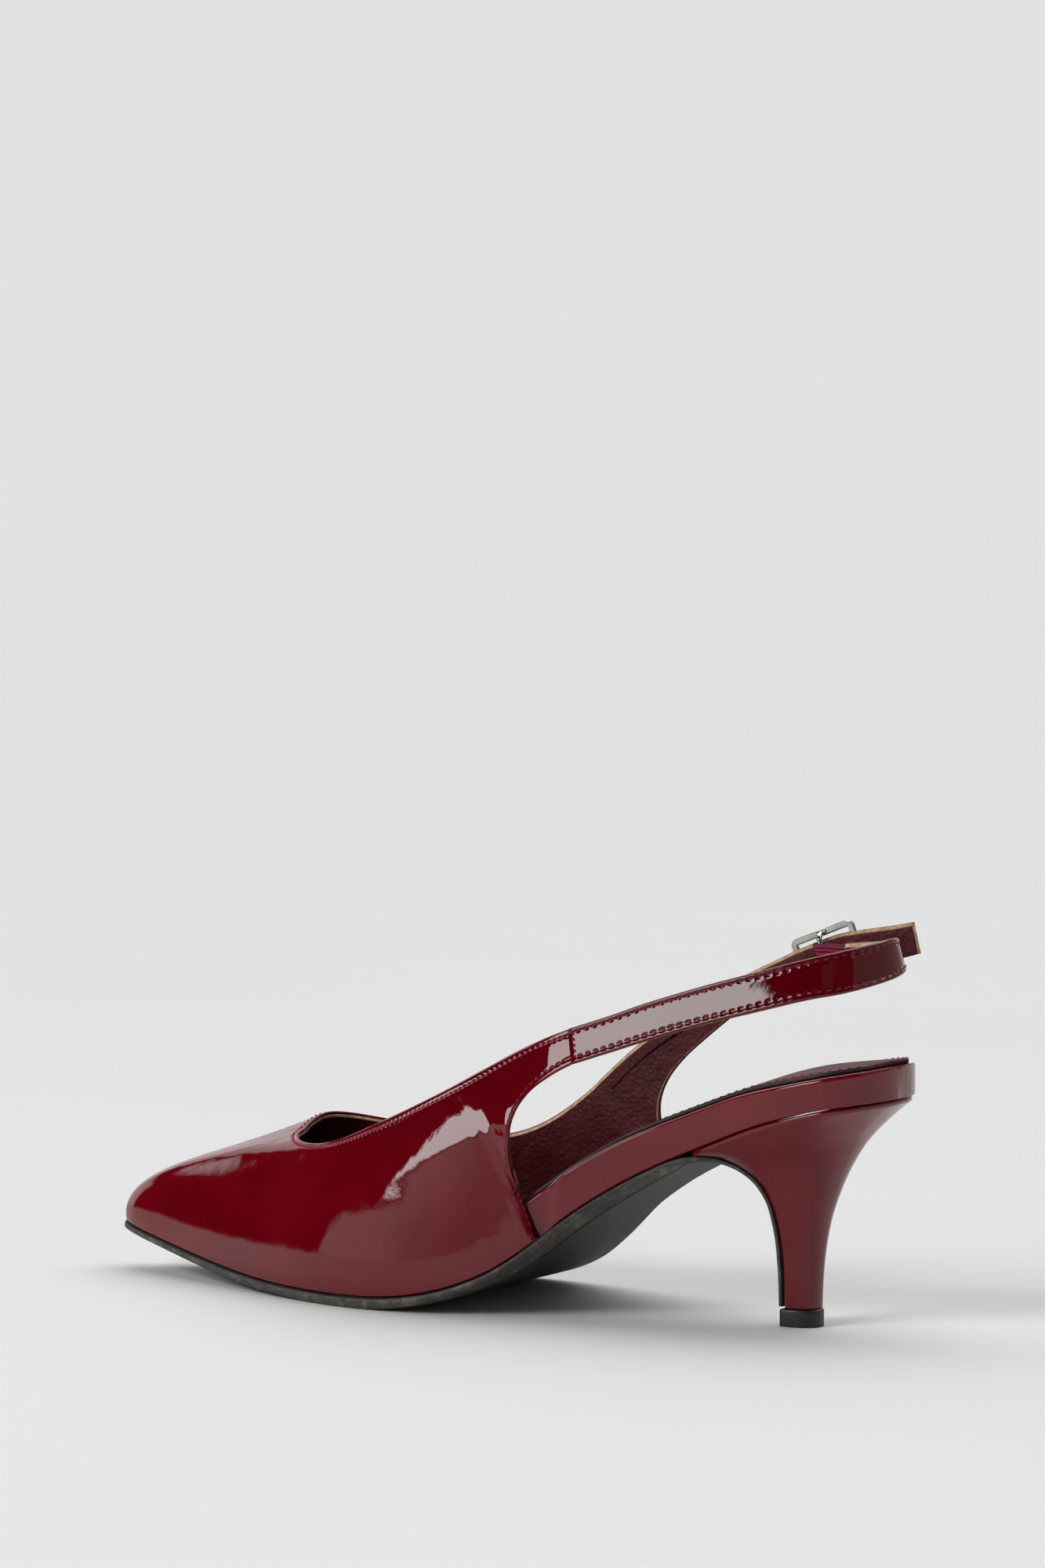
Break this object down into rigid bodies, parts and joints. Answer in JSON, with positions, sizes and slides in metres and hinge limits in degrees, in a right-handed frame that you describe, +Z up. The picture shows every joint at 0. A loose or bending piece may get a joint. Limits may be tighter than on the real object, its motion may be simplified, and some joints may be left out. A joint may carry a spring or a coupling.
{
  "type": "slingback pump",
  "caption": "Pointed right slingback pump, low throat, open sides, slim curved heel, thin sole with a flap down the heel, heel strap buckled on its outer side.",
  "frame": {"origin": "tread point of the ball of the foot, where the sole rests on the floor", "axes": "+X from the toe towards the heel, +Z up from the floor, -Y the inner side of the foot"},
  "size_m": [0.2495, 0.0762, 0.1072],
  "materials": {
    "patent": "deep burgundy patent leather, mirror gloss",
    "lining": "dark burgundy sock and lining leather, matte",
    "sole_rubber": "charcoal sole sheet, matte, scuffed under the ball",
    "tip_rubber": "black heel tip, satin",
    "elastic": "crimson ribbed elastic",
    "buckle_metal": "polished, thin plating"
  },
  "bodies": {
    "root": {"upper": "patent", "outsole": "sole_rubber", "insole_board": "patent", "sock": "lining", "heel": "patent", "top_piece": "tip_rubber", "sling_strap": "patent", "tail_strap": "patent", "elastic_tab": "elastic", "buckle_frame": "buckle_metal", "buckle_prong": "buckle_metal"}
  },
  "joints": []
}
